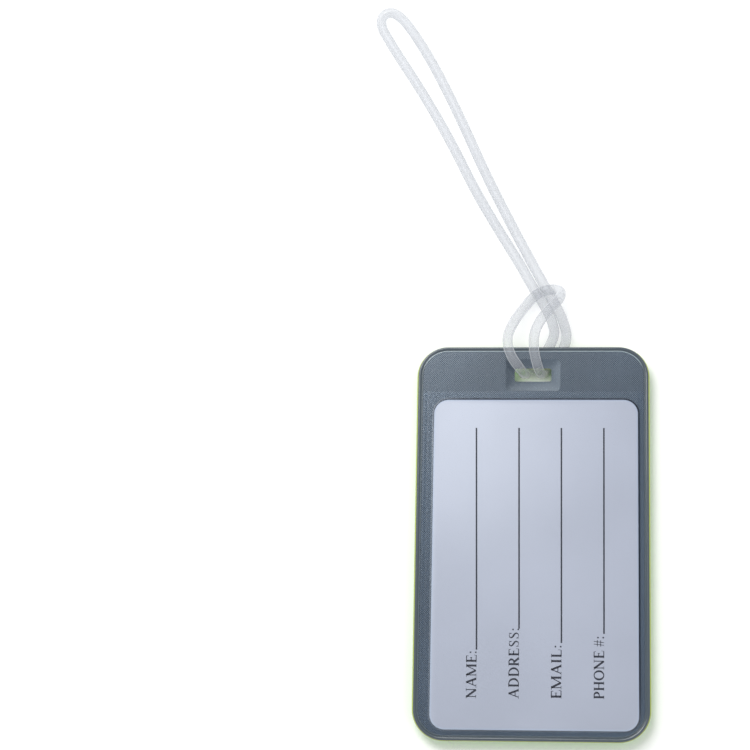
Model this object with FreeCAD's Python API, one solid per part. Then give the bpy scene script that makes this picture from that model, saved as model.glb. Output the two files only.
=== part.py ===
"""Luggage tag: a padded, welded pouch with a clear card pocket and a ring-shaped cord strap.

The tag lies on its padded front, card side up. X runs across the tag, +Y towards the
slot and the strap, +Z up out of the card side. The origin is under the tag's centre,
on the surface that the tag lies on. All sizes are in millimetres.
"""
import FreeCAD
import Part
import math
import os

from FreeCAD import Vector

# Overall outline of the tag
TAG_WIDTH = 63.5
TAG_LENGTH = 108.0
CORNER_RADIUS = 8.5

# Sheet thicknesses
COVER_THICK = 0.6
BACKING_THICK = 0.45
FILM_THICK = 0.25
CARD_THICK = 0.30
BOARD_THICK = 0.7

# Heights, from the surface under the tag up to the top of the film
CROWN_HEIGHT = 3.3
BACKING_BOTTOM = CROWN_HEIGHT + COVER_THICK
BACKING_TOP = BACKING_BOTTOM + BACKING_THICK
CARD_GAP = 0.08
CARD_BOTTOM = BACKING_TOP + CARD_GAP
FILM_BOTTOM = CARD_BOTTOM + CARD_THICK + CARD_GAP

# The back sheets stop a little inside the front cover, and a weld runs round their edge
BACK_INSET = 0.3
WELD_WIDTH = 1.15
WELD_HEIGHT = 0.6

# Slot for the strap, with the smooth pad that the weld press leaves around it
SLOT_WIDTH = 10.0
SLOT_HEIGHT = 3.7
SLOT_RADIUS = 0.7
SLOT_FROM_TOP = 8.0
SLOT_Y = TAG_LENGTH / 2 - SLOT_FROM_TOP
PAD_WIDTH = 15.0
PAD_HEIGHT = 9.0
PAD_RADIUS = 1.2
PAD_THICK = 0.35

# The pocket starts below the header, and the padded crown lies under it
HEADER_LENGTH = 12.8
MOUTH_Y = TAG_LENGTH / 2 - HEADER_LENGTH
POCKET_SEAM = 0.9
CROWN_INSET = 1.5
CROWN_SLOPE = 8.5
CROWN_FOOT_RADIUS = 7.0
CROWN_FLAT_RADIUS = 4.0
CROWN_STEPS = 5
PADDING_GAP = 0.1

# Identity card
CARD_WIDTH = 55.5
CARD_LENGTH = 90.0
CARD_CORNER = 4.0
CARD_OFFSET_X = 0.8
CARD_REST_GAP = 0.6

# Strap: one closed ring of round cord. It lies on the surface, runs under the header,
# comes up through the slot, and its short end is looped round the two long strands.
CORD_DIAMETER = 2.8
STRAP_START = (2.1, 51.09, 1.45)
STRAP_ROUTE = [
    (7.0, 57.0, 1.45),
    (5.0, 62.2, 3.1),
    (2.6, 66.4, 4.5),
    (-0.4, 71.2, 4.5),
    (-4.3, 78.8, 3.0),
    (-9.8, 88.2, 1.45),
    (-16.5, 99.8, 1.45),
    (-23.6, 114.6, 1.45),
    (-32.0, 129.6, 1.45),
    (-40.0, 142.2, 1.45),
    (-45.4, 151.7, 1.45),
    (-39.9, 155.0, 1.45),
    (-31.2, 142.3, 1.45),
    (-22.4, 124.8, 1.45),
    (-13.6, 104.6, 1.45),
    (-6.4, 90.0, 1.45),
    (-1.0, 79.2, 3.0),
    (3.05, 71.2, 4.5),
    (6.05, 66.4, 4.5),
    (8.5, 62.0, 3.1),
    (10.4, 57.2, 1.45),
    (6.4, 51.3, 1.45),
    (2.4, 45.9, 1.45),
    (1.5, 45.9, 7.4),
    (0.1, 51.9, 7.7),
    (0.3, 57.0, 7.6),
    (1.9, 60.6, 7.5),
    (4.4, 63.9, 7.4),
    (8.0, 67.9, 7.3),
    (8.0, 69.9, 1.45),
    (1.6, 68.2, 1.45),
    (-3.2, 65.0, 2.4),
    (-5.6, 60.6, 4.8),
    (-7.2, 56.0, 7.0),
    (-6.4, 51.0, 7.7),
    (-3.0, 45.9, 7.4),
    (-2.2, 45.9, 1.45),
]
ARC_SHARE = 0.45


def outline(width, length, radius, z, centre_x=0.0, centre_y=0.0):
    """A rounded rectangle, as one closed wire at height z."""
    x = width / 2 - radius
    y = length / 2 - radius
    bow = radius * math.sqrt(0.5)
    corners = [(x, y, 1, 1), (-x, y, -1, 1), (-x, -y, -1, -1), (x, -y, 1, -1)]
    arcs = []
    for cx, cy, sx, sy in corners:
        middle = Vector(centre_x + cx + sx * bow, centre_y + cy + sy * bow, z)
        side = Vector(centre_x + cx + sx * radius, centre_y + cy, z)
        end = Vector(centre_x + cx, centre_y + cy + sy * radius, z)
        first, last = (side, end) if sx * sy > 0 else (end, side)
        arcs.append((first, middle, last))
    edges = []
    for i, (first, middle, last) in enumerate(arcs):
        edges.append(Part.Arc(first, middle, last).toShape())
        edges.append(Part.LineSegment(last, arcs[(i + 1) % 4][0]).toShape())
    return Part.Wire(edges)


def slab(width, length, radius, bottom, top, centre_x=0.0, centre_y=0.0):
    """A flat sheet with rounded corners, from height bottom to height top."""
    wire = outline(width, length, radius, bottom, centre_x, centre_y)
    return Part.Face(wire).extrude(Vector(0, 0, top - bottom))


def slot_cutter():
    """A block through the whole tag, in the shape of the strap slot."""
    return slab(SLOT_WIDTH, SLOT_HEIGHT, SLOT_RADIUS, -1.0, FILM_BOTTOM, 0.0, SLOT_Y)


def crown(inset, bottom, top):
    """The padded bulge as a solid, its sides rounded like a quarter of an ellipse."""
    foot_width = TAG_WIDTH - 2 * CROWN_INSET - 2 * inset
    low_y = -TAG_LENGTH / 2 + CROWN_INSET + inset
    high_y = MOUTH_Y - inset
    rings = []
    for step in range(CROWN_STEPS):
        angle = math.pi / 2 * step / (CROWN_STEPS - 1)
        shrink = CROWN_SLOPE * (1 - math.cos(angle))
        share = shrink / CROWN_SLOPE
        radius = CROWN_FOOT_RADIUS + share * (CROWN_FLAT_RADIUS - CROWN_FOOT_RADIUS)
        height = top - (top - bottom) * math.sin(angle)
        rings.append(
            outline(
                foot_width - 2 * shrink,
                high_y - low_y - 2 * shrink,
                radius,
                height,
                0.0,
                (high_y + low_y) / 2,
            )
        )
    return Part.makeLoft(rings, True, True)


def front_cover():
    """Glossy front sheet: a flat rim and header, with a hollow crown drawn down from it."""
    rim = slab(TAG_WIDTH, TAG_LENGTH, CORNER_RADIUS, CROWN_HEIGHT, BACKING_BOTTOM)
    shell = rim.fuse(crown(0.0, 0.0, CROWN_HEIGHT)).removeSplitter()
    hollow = crown(COVER_THICK, COVER_THICK, CROWN_HEIGHT)
    width, length = hollow_size()
    mouth = slab(
        width, length, CROWN_FOOT_RADIUS, CROWN_HEIGHT, BACKING_BOTTOM, 0.0, hollow_centre()
    )
    return shell.cut(hollow).cut(mouth).cut(slot_cutter())


def hollow_size():
    """Width and length of the mouth of the crown's hollow."""
    width = TAG_WIDTH - 2 * CROWN_INSET - 2 * COVER_THICK
    length = MOUTH_Y + TAG_LENGTH / 2 - CROWN_INSET - 2 * COVER_THICK
    return width, length


def hollow_centre():
    """Y of the middle of the crown's hollow."""
    return (MOUTH_Y - TAG_LENGTH / 2 + CROWN_INSET) / 2


def foam_pad():
    """Soft padding that fills the crown below the board."""
    top = BACKING_BOTTOM - BOARD_THICK
    return crown(COVER_THICK + PADDING_GAP, COVER_THICK + PADDING_GAP / 2, top)


def stiffener_board():
    """Thin board that keeps the card side of the pouch flat."""
    width, length = hollow_size()
    return slab(
        width - 2 * PADDING_GAP,
        length - 2 * PADDING_GAP,
        CROWN_FOOT_RADIUS,
        BACKING_BOTTOM - BOARD_THICK,
        BACKING_BOTTOM,
        0.0,
        hollow_centre(),
    )


def back_size():
    """Width, length and corner radius of the back sheet inside its edge weld."""
    inset = BACK_INSET + WELD_WIDTH
    return TAG_WIDTH - 2 * inset, TAG_LENGTH - 2 * inset, CORNER_RADIUS - inset


def mesh_backing():
    """Grey mesh-patterned sheet behind the card, open where the slot's pad is pressed."""
    width, length, radius = back_size()
    sheet = slab(width, length, radius, BACKING_BOTTOM, BACKING_TOP)
    pad = slab(PAD_WIDTH, PAD_HEIGHT, PAD_RADIUS, BACKING_BOTTOM, BACKING_TOP, 0.0, SLOT_Y)
    return sheet.cut(pad)


def border_weld():
    """Smooth welded bead round the edge, which joins the cover, the backing and the film."""
    width, length, radius = back_size()
    top = BACKING_BOTTOM + WELD_HEIGHT
    outer = slab(
        TAG_WIDTH - 2 * BACK_INSET,
        TAG_LENGTH - 2 * BACK_INSET,
        CORNER_RADIUS - BACK_INSET,
        BACKING_BOTTOM,
        top,
    )
    return outer.cut(slab(width, length, radius, BACKING_BOTTOM, top))


def slot_weld():
    """Smooth pressed pad round the slot, where the sheets are welded to each other."""
    top = BACKING_BOTTOM + PAD_THICK
    pad = slab(PAD_WIDTH, PAD_HEIGHT, PAD_RADIUS, BACKING_BOTTOM, top, 0.0, SLOT_Y)
    return pad.cut(slot_cutter())


def window_film():
    """Clear sheet over the card, seamed down on three sides and open at the header."""
    width, length, radius = back_size()
    top = FILM_BOTTOM + FILM_THICK
    below_mouth = Part.makeBox(
        TAG_WIDTH,
        MOUTH_Y + TAG_LENGTH / 2,
        top,
        Vector(-TAG_WIDTH / 2, -TAG_LENGTH / 2, 0),
    )
    sheet = slab(width, length, radius, BACKING_TOP, top)
    pocket = slab(
        width - 2 * POCKET_SEAM,
        length - 2 * POCKET_SEAM,
        radius - POCKET_SEAM,
        BACKING_TOP,
        FILM_BOTTOM,
    )
    return sheet.cut(pocket).common(below_mouth)


def id_card():
    """Loose card in the pocket, resting just clear of the bottom seam."""
    pocket_bottom = -TAG_LENGTH / 2 + BACK_INSET + WELD_WIDTH + POCKET_SEAM
    centre_y = pocket_bottom + CARD_REST_GAP + CARD_LENGTH / 2
    return slab(
        CARD_WIDTH,
        CARD_LENGTH,
        CARD_CORNER,
        CARD_BOTTOM,
        CARD_BOTTOM + CARD_THICK,
        CARD_OFFSET_X,
        centre_y,
    )


def bend(before, corner, after):
    """Tangent points, middle and radius of the arc that rounds one corner of the route."""
    back = before - corner
    ahead = after - corner
    turn = math.pi - back.getAngle(ahead)
    reach = ARC_SHARE * min(back.Length, ahead.Length)
    radius = reach / math.tan(turn / 2)
    back.normalize()
    ahead.normalize()
    inward = back + ahead
    inward.normalize()
    depth = radius / math.cos(turn / 2) - radius
    return corner + back * reach, corner + inward * depth, corner + ahead * reach, radius


def strap_path():
    """Straight runs and tangent arcs of the strap, closed under the header, and the radii."""
    start = Vector(*STRAP_START)
    route = [start] + [Vector(*point) for point in STRAP_ROUTE] + [start]
    edges = []
    radii = []
    last = start
    for before, corner, after in zip(route, route[1:], route[2:]):
        enter, middle, leave, radius = bend(before, corner, after)
        edges.append(Part.LineSegment(last, enter).toShape())
        edges.append(Part.Arc(enter, middle, leave).toShape())
        radii.append(radius)
        last = leave
    edges.append(Part.LineSegment(last, start).toShape())
    return edges, radii


def cord(edges):
    """A round cord along part of the path, from its first edge to its last."""
    start = edges[0].firstVertex(True).Point
    heading = edges[0].tangentAt(edges[0].FirstParameter)
    section = Part.Wire([Part.makeCircle(CORD_DIAMETER / 2, start, heading)])
    return Part.Wire(edges).makePipeShell([section], True, False)


def strap_loop():
    """The strap, swept as two lengths of cord that are joined into one ring."""
    edges, radii = strap_path()
    half = len(edges) // 2
    ring = cord(edges[:half]).fuse(cord(edges[half:])).removeSplitter()
    length = sum(edge.Length for edge in edges)
    area = math.pi * (CORD_DIAMETER / 2) ** 2
    lowest = min(point.z for point in ring.tessellate(0.05)[0])
    print("strap radii:", " ".join(f"{radius:.1f}" for radius in radii))
    print(f"strap length {length:.1f} mm, lowest point {lowest:.2f} mm")
    print(f"strap volume {ring.Volume:.1f}, section times length {area * length:.1f} mm3")
    return ring


NODES = {
    "front_cover": front_cover,
    "foam_pad": foam_pad,
    "stiffener_board": stiffener_board,
    "mesh_backing": mesh_backing,
    "border_weld": border_weld,
    "slot_weld": slot_weld,
    "window_film": window_film,
    "id_card": id_card,
    "strap_loop": strap_loop,
}


def main():
    """Build every piece and write each one to its own file."""
    os.makedirs("parts", exist_ok=True)
    for name, build in NODES.items():
        solid = build()
        solid.exportStep(f"parts/{name}.step")
        print(f"{name}: valid {solid.isValid()}, solids {len(solid.Solids)}, {solid.Volume:.0f} mm3")


main()
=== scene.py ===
"""Looks of the luggage tag: a padded welded pouch, its paper card and its looped cord strap.

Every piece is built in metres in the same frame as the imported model: X across the tag,
+Y towards the strap, +Z up out of the card side, and z = 0 is what the tag lies on.
Sizes are given in millimetres and turned into metres where a mesh is made.
"""

import logging
import math
from dataclasses import dataclass
from enum import Enum
from typing import Any, Callable, Iterable, Sequence

import bmesh
import bpy
from bpy.types import Material, Mesh, Node, NodeSocket, NodeTree, Object
from mathutils import Matrix, Vector


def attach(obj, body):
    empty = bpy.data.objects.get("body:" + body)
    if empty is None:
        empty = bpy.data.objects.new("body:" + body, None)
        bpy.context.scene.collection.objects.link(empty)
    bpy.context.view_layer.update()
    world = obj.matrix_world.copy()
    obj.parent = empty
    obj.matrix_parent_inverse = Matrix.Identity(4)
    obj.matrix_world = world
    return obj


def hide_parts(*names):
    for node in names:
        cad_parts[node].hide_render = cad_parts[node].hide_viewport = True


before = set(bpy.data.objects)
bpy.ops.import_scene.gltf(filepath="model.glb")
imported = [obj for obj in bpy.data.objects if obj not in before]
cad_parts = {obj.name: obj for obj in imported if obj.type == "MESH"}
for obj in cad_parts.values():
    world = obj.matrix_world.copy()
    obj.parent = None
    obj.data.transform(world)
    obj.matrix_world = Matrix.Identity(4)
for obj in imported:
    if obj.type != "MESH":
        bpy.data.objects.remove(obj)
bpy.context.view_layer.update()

LOG = logging.getLogger("luggage_tag")
MM = 0.001
SHARP = math.radians(32)
BEAD_SHARP = math.radians(50)
WARM = (1.0, 0.99, 0.97)
COOL = (0.97, 0.985, 1.0)

Point = tuple[float, float, float]
Flat = tuple[float, float]
Colour = tuple[float, float, float, float]
Strokes = list[list[Flat]]


class Body(Enum):
    """The bodies that move on their own."""

    POUCH = "pouch"
    CARD = "card"
    STRAP = "strap"


class Slot(Enum):
    """The record's material slots that new pieces use."""

    GREEN = "green_gloss"
    FOAM = "foam"
    WELD = "grey_weld"
    FILM = "clear_film"
    CARD = "card_stock"
    INK = "card_ink"
    CORD = "clear_cord"


# --------------------------------------------------------------------------- mesh helpers


def rounded_loop(
    width: float, length: float, radius: float, x: float = 0.0, y: float = 0.0, turns: int = 10
) -> list[Flat]:
    """Points round a rounded rectangle, anticlockwise.

    Args:
        width: size across, in mm.
        length: size along, in mm.
        radius: corner radius, in mm.
        x: centre across, in mm.
        y: centre along, in mm.
        turns: steps in each corner.

    Returns:
        The points, starting at the right-hand end of the upper right corner.
    """
    reach_x = width / 2 - radius
    reach_y = length / 2 - radius
    points = []
    for quarter, (side_x, side_y) in enumerate(((1, 1), (-1, 1), (-1, -1), (1, -1))):
        cx, cy = x + side_x * reach_x, y + side_y * reach_y
        for step in range(turns + 1):
            angle = math.radians(90 * quarter + 90 * step / turns)
            points.append((cx + radius * math.cos(angle), cy + radius * math.sin(angle)))
    return points


def at_height(loop: Iterable[Flat], z: float) -> list[Point]:
    """The loop as points at one height."""
    return [(x, y, z) for x, y in loop]


def ease(value: float) -> float:
    """A smooth step from 0 to 1."""
    value = min(1.0, max(0.0, value))
    return value * value * (3 - 2 * value)


def mark_sharp(bm: bmesh.types.BMesh, limit: float = SHARP) -> None:
    """Smooth faces, with the edges above the limit angle kept crisp.

    Args:
        bm: the mesh to change.
        limit: angle between faces in radians above which an edge stays crisp.
    """
    for face in bm.faces:
        face.smooth = True
    for edge in bm.edges:
        edge.smooth = len(edge.link_faces) == 2 and edge.calc_face_angle(0.0) < limit


def to_mesh(name: str, bm: bmesh.types.BMesh) -> Mesh:
    """The bmesh as a named mesh; the bmesh is freed."""
    mesh = bpy.data.meshes.new(name)
    bm.to_mesh(mesh)
    bm.free()
    return mesh


def shell(name: str, rings: Sequence[Sequence[Point]], closed: bool = False) -> Mesh:
    """A closed solid through rings with the same number of points.

    Args:
        name: name of the mesh.
        rings: the rings, in mm, in order.
        closed: the last ring joins the first, so that the solid is a ring itself; else both ends
            are closed by flat caps.

    Returns:
        The mesh, in metres, with its faces outwards.
    """
    bm = bmesh.new()
    rows = [[bm.verts.new(Vector(point) * MM) for point in ring] for ring in rings]
    pairs = list(zip(rows, rows[1:]))
    if closed:
        pairs.append((rows[-1], rows[0]))
    for low, high in pairs:
        for i, _ in enumerate(low):
            j = (i + 1) % len(low)
            bm.faces.new((low[i], low[j], high[j], high[i]))
    if not closed:
        bm.faces.new(rows[0])
        bm.faces.new(rows[-1])
    bmesh.ops.recalc_face_normals(bm, faces=bm.faces)
    mark_sharp(bm)
    return to_mesh(name, bm)


def cut(mesh: Mesh, cutter: Mesh) -> Mesh:
    """The mesh with the cutter's volume taken out.

    Args:
        mesh: the closed mesh to cut.
        cutter: the closed mesh that is taken away.

    Returns:
        A new mesh with crisp edges at the cut.
    """
    body = link(mesh.name + "_blank", mesh)
    tool = link(mesh.name + "_tool", cutter)
    modifier = body.modifiers.new("Cut", "BOOLEAN")
    modifier.object = tool
    modifier.operation = "DIFFERENCE"
    modifier.solver = "EXACT"
    result = evaluated_mesh(body)
    bpy.data.objects.remove(body)
    bpy.data.objects.remove(tool)
    bm = bmesh.new()
    bm.from_mesh(result)
    mark_sharp(bm)
    return to_mesh(mesh.name, bm)


def link(name: str, data: Any) -> Object:
    """A new object in the scene with that data."""
    made = bpy.data.objects.new(name, data)
    bpy.context.scene.collection.objects.link(made)
    return made


def evaluated_mesh(obj: Object) -> Mesh:
    """The object's mesh with its modifiers applied."""
    graph = bpy.context.evaluated_depsgraph_get()
    graph.update()
    return bpy.data.meshes.new_from_object(obj.evaluated_get(graph), depsgraph=graph)


def place(
    name: str,
    data: Any,
    body: Body,
    slot: Slot,
    material: Material | None,
    nodes: Sequence[str] = (),
) -> Object:
    """Put a finished piece on its body.

    Args:
        name: name of the piece.
        data: its mesh or curve, already in place.
        body: the body that it rides on.
        slot: the record's material slot; not used.
        material: its material, or None if the data has one.
        nodes: the CAD nodes that it stands for.

    Returns:
        The new object.
    """
    piece = link(name, data)
    if material is not None:
        data.materials.append(material)
    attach(piece, body.value)
    if nodes:
        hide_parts(*nodes)
    LOG.info("built %s on %s", name, body.value)
    return piece


# --------------------------------------------------------------------------- node helpers


@dataclass
class Graph:
    """Adds and joins nodes in one node tree."""

    tree: NodeTree

    def feed(self, socket: NodeSocket, value: Any) -> None:
        """Join a socket to an output, or set its value."""
        if isinstance(value, NodeSocket):
            self.tree.links.new(value, socket)
        else:
            socket.default_value = value

    def node(self, kind: str, inputs: dict[Any, Any] | None = None, **settings: Any) -> Node:
        """Add a node.

        Args:
            kind: Blender's type name of the node.
            inputs: values or outputs for its sockets, by name or number.
            settings: the node's own properties.

        Returns:
            The node.
        """
        made = self.tree.nodes.new(kind)
        for key, value in settings.items():
            setattr(made, key, value)
        for key, value in (inputs or {}).items():
            self.feed(made.inputs[key], value)
        return made

    def math(self, operation: str, *values: Any, clamp: bool = False) -> NodeSocket:
        """The result of a sum on numbers."""
        made = self.node("ShaderNodeMath", dict(enumerate(values)), operation=operation, use_clamp=clamp)
        return made.outputs[0]

    def vector(self, operation: str, *values: Any) -> NodeSocket:
        """The result of a sum on vectors."""
        made = self.node("ShaderNodeVectorMath", dict(enumerate(values)), operation=operation)
        return made.outputs["Value" if operation in ("LENGTH", "DOT_PRODUCT") else "Vector"]

    def spread(self, value: Any, low: Any, high: Any, to_low: Any, to_high: Any) -> NodeSocket:
        """A number moved from one range to another, smoothly and within its ends."""
        inputs = {0: value, 1: low, 2: high, 3: to_low, 4: to_high}
        return self.node("ShaderNodeMapRange", inputs, interpolation_type="SMOOTHSTEP").outputs[0]

    def blend(self, share: Any, first: Any, second: Any) -> NodeSocket:
        """A colour between two colours."""
        return self.node("ShaderNodeMix", {0: share, 6: first, 7: second}, data_type="RGBA").outputs[2]

    def noise(self, where: Any, scale: Any, detail: float = 3.0, rough: float = 0.5) -> NodeSocket:
        """Soft noise as a number round one half."""
        inputs = {"Vector": where, "Scale": scale, "Detail": detail, "Roughness": rough}
        return self.node("ShaderNodeTexNoise", inputs).outputs[0]

    def group(self, tree: NodeTree, inputs: dict[str, Any]) -> Node:
        """A node group placed in this tree with its own values."""
        made = self.tree.nodes.new("ShaderNodeGroup")
        made.node_tree = tree
        for key, value in inputs.items():
            self.feed(made.inputs[key], value)
        return made

    def scale(self, value: Any, amount: Any) -> NodeSocket:
        """A vector made longer or shorter."""
        return self.node("ShaderNodeVectorMath", {0: value, "Scale": amount}, operation="SCALE").outputs[0]

    def along(self, place: Any, axis: int) -> NodeSocket:
        """One coordinate of a place, in mm."""
        return self.math("MULTIPLY", self.node("ShaderNodeSeparateXYZ", {0: place}).outputs[axis], 1 / MM)

    def bump(
        self, shader: Node, height: Any, distance: float, strength: float
    ) -> NodeSocket:
        """Raise a shader's surface by a height.

        Args:
            shader: the shader to raise.
            height: the height, from 0 to 1.
            distance: what a height of 1 stands for, in metres.
            strength: share of the effect.

        Returns:
            The raised surface's normal.
        """
        inputs = {"Height": height, "Distance": distance, "Strength": strength}
        normal = self.node("ShaderNodeBump", inputs).outputs[0]
        self.feed(shader.inputs["Normal"], normal)
        return normal

    def see_through(self, shader: Node, share: Any, tint: Any) -> None:
        """Show a shader by a share, and a clear tint for the rest."""
        clear = self.node("ShaderNodeBsdfTransparent", {"Color": tint})
        mixed = self.node("ShaderNodeMixShader", {0: share, 1: clear.outputs[0], 2: shader.outputs[0]})
        out = next(node for node in self.tree.nodes if node.bl_idname == "ShaderNodeOutputMaterial")
        self.feed(out.inputs["Surface"], mixed.outputs[0])


class Kind(Enum):
    """Socket types of node groups."""

    NUMBER = "NodeSocketFloat"
    VECTOR = "NodeSocketVector"
    GEOMETRY = "NodeSocketGeometry"
    MATERIAL = "NodeSocketMaterial"


def new_group(
    name: str, family: str, inputs: dict[str, Kind], outputs: dict[str, Kind]
) -> tuple[Graph, Node, Node]:
    """Start a node group.

    Args:
        name: name of the group.
        family: "ShaderNodeTree" or "GeometryNodeTree".
        inputs: names and types of its inputs.
        outputs: names and types of its outputs.

    Returns:
        Its graph, its input node and its output node.
    """
    tree = bpy.data.node_groups.new(name, family)
    for label, kind in inputs.items():
        tree.interface.new_socket(name=label, in_out="INPUT", socket_type=kind.value)
    for label, kind in outputs.items():
        tree.interface.new_socket(name=label, in_out="OUTPUT", socket_type=kind.value)
    graph = Graph(tree)
    return graph, graph.node("NodeGroupInput"), graph.node("NodeGroupOutput")


class Effects:
    """The shader effects that several finishes share, each built once."""

    def __init__(self) -> None:
        """Build the groups."""
        self.frame = self._frame()
        self.handling = self._handling()
        self.lattice = self._lattice()

    def marks(self, g: Graph, place: Any, patch: float, grain: float) -> Node:
        """Handling marks with patches and grain of these sizes, in metres."""
        return g.group(self.handling, {"Place": place, "Patch size": patch, "Grain size": grain})

    def line(
        self, g: Graph, place: Any, centre: Flat, size: Point, inset: float, reach: float
    ) -> NodeSocket:
        """A mask of a line that follows a rounded rectangle.

        Args:
            g: the graph that it goes in.
            place: the piece's own coordinates.
            centre: the rectangle's centre, in mm.
            size: its width, length and corner radius, in mm.
            inset: how far inside the outline the line runs, in mm.
            reach: how far the mask fades out to each side, in mm.

        Returns:
            The mask, which is 1 on the line.
        """
        width, length, corner = size
        values = {
            "Place": place,
            "Centre": (*centre, 0.0),
            "Half width": width / 2,
            "Half length": length / 2,
            "Radius": corner,
            "Line at": inset,
            "Line width": reach,
        }
        return g.group(self.frame, values).outputs["Line"]

    @staticmethod
    def _frame() -> NodeTree:
        """A mask of a line at some distance inside a rounded rectangle's outline."""
        inputs = {
            "Place": Kind.VECTOR,
            "Centre": Kind.VECTOR,
            "Half width": Kind.NUMBER,
            "Half length": Kind.NUMBER,
            "Radius": Kind.NUMBER,
            "Line at": Kind.NUMBER,
            "Line width": Kind.NUMBER,
        }
        g, source, sink = new_group("OutlineDistance", "ShaderNodeTree", inputs, {"Line": Kind.NUMBER})
        local = g.vector("SUBTRACT", g.scale(source.outputs["Place"], 1 / MM), source.outputs["Centre"])
        bent = g.node("ShaderNodeSeparateXYZ", {0: g.vector("ABSOLUTE", local)})
        radius = source.outputs["Radius"]
        over = [
            g.math("SUBTRACT", bent.outputs[axis], g.math("SUBTRACT", source.outputs[half], radius))
            for axis, half in enumerate(("Half width", "Half length"))
        ]
        past = [g.math("MAXIMUM", side, 0.0) for side in over]
        outer = g.math("SQRT", g.math("ADD", *(g.math("MULTIPLY", side, side) for side in past)))
        inner = g.math("MINIMUM", g.math("MAXIMUM", *over), 0.0)
        inside = g.math("SUBTRACT", radius, g.math("ADD", outer, inner))
        away = g.math("ABSOLUTE", g.math("SUBTRACT", inside, source.outputs["Line at"]))
        g.feed(sink.inputs["Line"], g.spread(away, 0.0, source.outputs["Line width"], 1.0, 0.0))
        return g.tree

    @staticmethod
    def _handling() -> NodeTree:
        """Soft patches, fine grain and hairline scuffs that handling leaves on plastic and card."""
        inputs = {"Place": Kind.VECTOR, "Patch size": Kind.NUMBER, "Grain size": Kind.NUMBER}
        outputs = {"Patches": Kind.NUMBER, "Grain": Kind.NUMBER, "Scuffs": Kind.NUMBER}
        g, source, sink = new_group("Handling", "ShaderNodeTree", inputs, outputs)
        place = source.outputs["Place"]
        patches = g.noise(place, g.math("DIVIDE", 1.0, source.outputs["Patch size"]), 2.0)
        grain = g.noise(place, g.math("DIVIDE", 1.0, source.outputs["Grain size"]), 4.0, 0.6)
        drawn = g.vector("MULTIPLY", place, (1.0, 0.06, 1.0))
        hairs = g.spread(g.noise(drawn, 2600.0, 1.0), 0.64, 0.72, 0.0, 1.0)
        sparse = g.spread(g.noise(place, 70.0, 2.0), 0.52, 0.68, 0.0, 1.0)
        scuffs = g.math("MULTIPLY", hairs, sparse)
        g.feed(sink.inputs["Patches"], patches)
        g.feed(sink.inputs["Grain"], grain)
        g.feed(sink.inputs["Scuffs"], scuffs)
        return g.tree

    @staticmethod
    def _lattice() -> NodeTree:
        """A fine lattice of staggered dimples, as pressed into sheet plastic."""
        inputs = {"Place": Kind.VECTOR, "Pitch": Kind.NUMBER}
        g, source, sink = new_group("DimpleLattice", "ShaderNodeTree", inputs, {"Pits": Kind.NUMBER})
        turns = g.math("DIVIDE", 2 * math.pi / MM, source.outputs["Pitch"])
        part = g.node("ShaderNodeSeparateXYZ", {0: g.scale(source.outputs["Place"], turns)})
        wave = g.math("MULTIPLY", g.math("COSINE", part.outputs[0]), g.math("COSINE", part.outputs[1]))
        height = g.math("MULTIPLY_ADD", wave, 0.5, 0.5)
        g.feed(sink.inputs["Pits"], g.spread(height, 0.32, 0.52, 1.0, 0.0))
        return g.tree


@dataclass(frozen=True)
class Finish:
    """A plastic or paper finish, the base of every material here."""

    name: str
    colour: Colour
    roughness: float

    def start(self) -> tuple[Material, Graph, Node, NodeSocket]:
        """An empty material with its Principled shader, and the piece's own coordinates."""
        material = bpy.data.materials.new(self.name)
        material.use_nodes = True
        material.diffuse_color = self.colour
        graph = Graph(material.node_tree)
        graph.tree.nodes.clear()
        inputs = {"Base Color": self.colour, "Roughness": self.roughness}
        shader = graph.node("ShaderNodeBsdfPrincipled", inputs)
        out = graph.node("ShaderNodeOutputMaterial")
        graph.feed(out.inputs["Surface"], shader.outputs[0])
        place = graph.node("ShaderNodeTexCoord").outputs["Object"]
        return material, graph, shader, place

    def build(self, effects: Effects) -> Material:
        """Make the material."""
        material, g, shader, place = self.start()
        self.dress(g, shader, place, effects)
        return material

    def dress(self, g: Graph, shader: Node, place: NodeSocket, effects: Effects) -> None:
        """Add the nodes of one finish; each kind of finish has its own."""

    def shade(self, amount: float) -> Colour:
        """The finish's colour made darker or lighter."""
        red, green, blue, alpha = self.colour
        return (red * amount, green * amount, blue * amount, alpha)

    def mottle(self, g: Graph, marks: Node, amount: float) -> NodeSocket:
        """The finish's colour, a little darker and lighter in soft patches."""
        share = g.spread(marks.outputs["Patches"], 0.3, 0.7, 0.0, 1.0)
        return g.blend(share, self.shade(1 - amount), self.shade(1 + amount))

    def roughen(
        self, g: Graph, shader: Node, uneven: Any, amount: float, lower: float = 0.0
    ) -> None:
        """Give a shader the finish's roughness, made uneven by a mask."""
        base = self.roughness - lower
        g.feed(shader.inputs["Roughness"], g.math("MULTIPLY_ADD", uneven, amount, base))


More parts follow.
